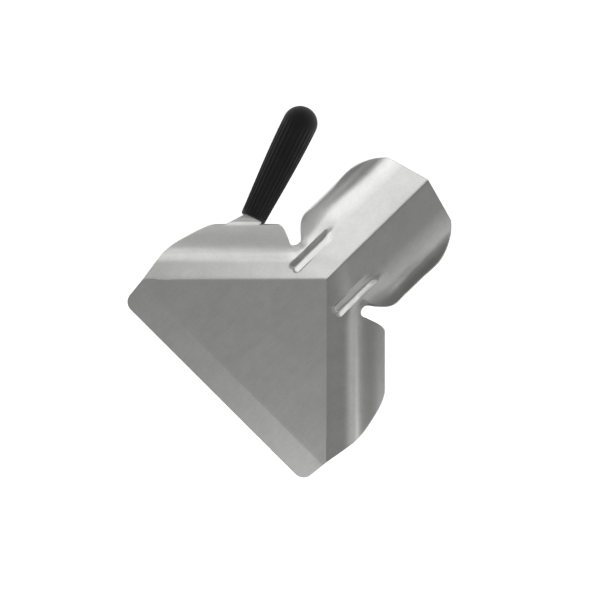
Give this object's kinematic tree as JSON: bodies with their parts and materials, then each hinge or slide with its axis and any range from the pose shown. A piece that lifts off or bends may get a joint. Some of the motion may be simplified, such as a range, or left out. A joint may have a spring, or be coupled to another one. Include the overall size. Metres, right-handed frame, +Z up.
{
  "type": "chip scoop",
  "caption": "Folded stainless chip bagging scoop: wide flat scoop with side walls, necked throat, V-shaped chute with curled walls, and a fluted black grip on one side.",
  "frame": {"origin": "underside of the flat floor panel, on the plane of symmetry, 60 mm in front of the apex where the side folds meet the chute's spine", "axes": "+Y along the scoop towards the chute's mouth, -Y towards the leading edge, +Z up from the floor panel to the open side, grip on the -X side"},
  "size_m": [0.2201, 0.2352, 0.076],
  "materials": {
    "steel": "satin stainless sheet with fine grain",
    "grip_plastic": "moulded black plastic, slightly satin",
    "screw_steel": "bright plated screw"
  },
  "bodies": {
    "root": {"scoop_sheet": "steel", "grip": "grip_plastic", "grip_screw": "screw_steel"}
  },
  "joints": []
}
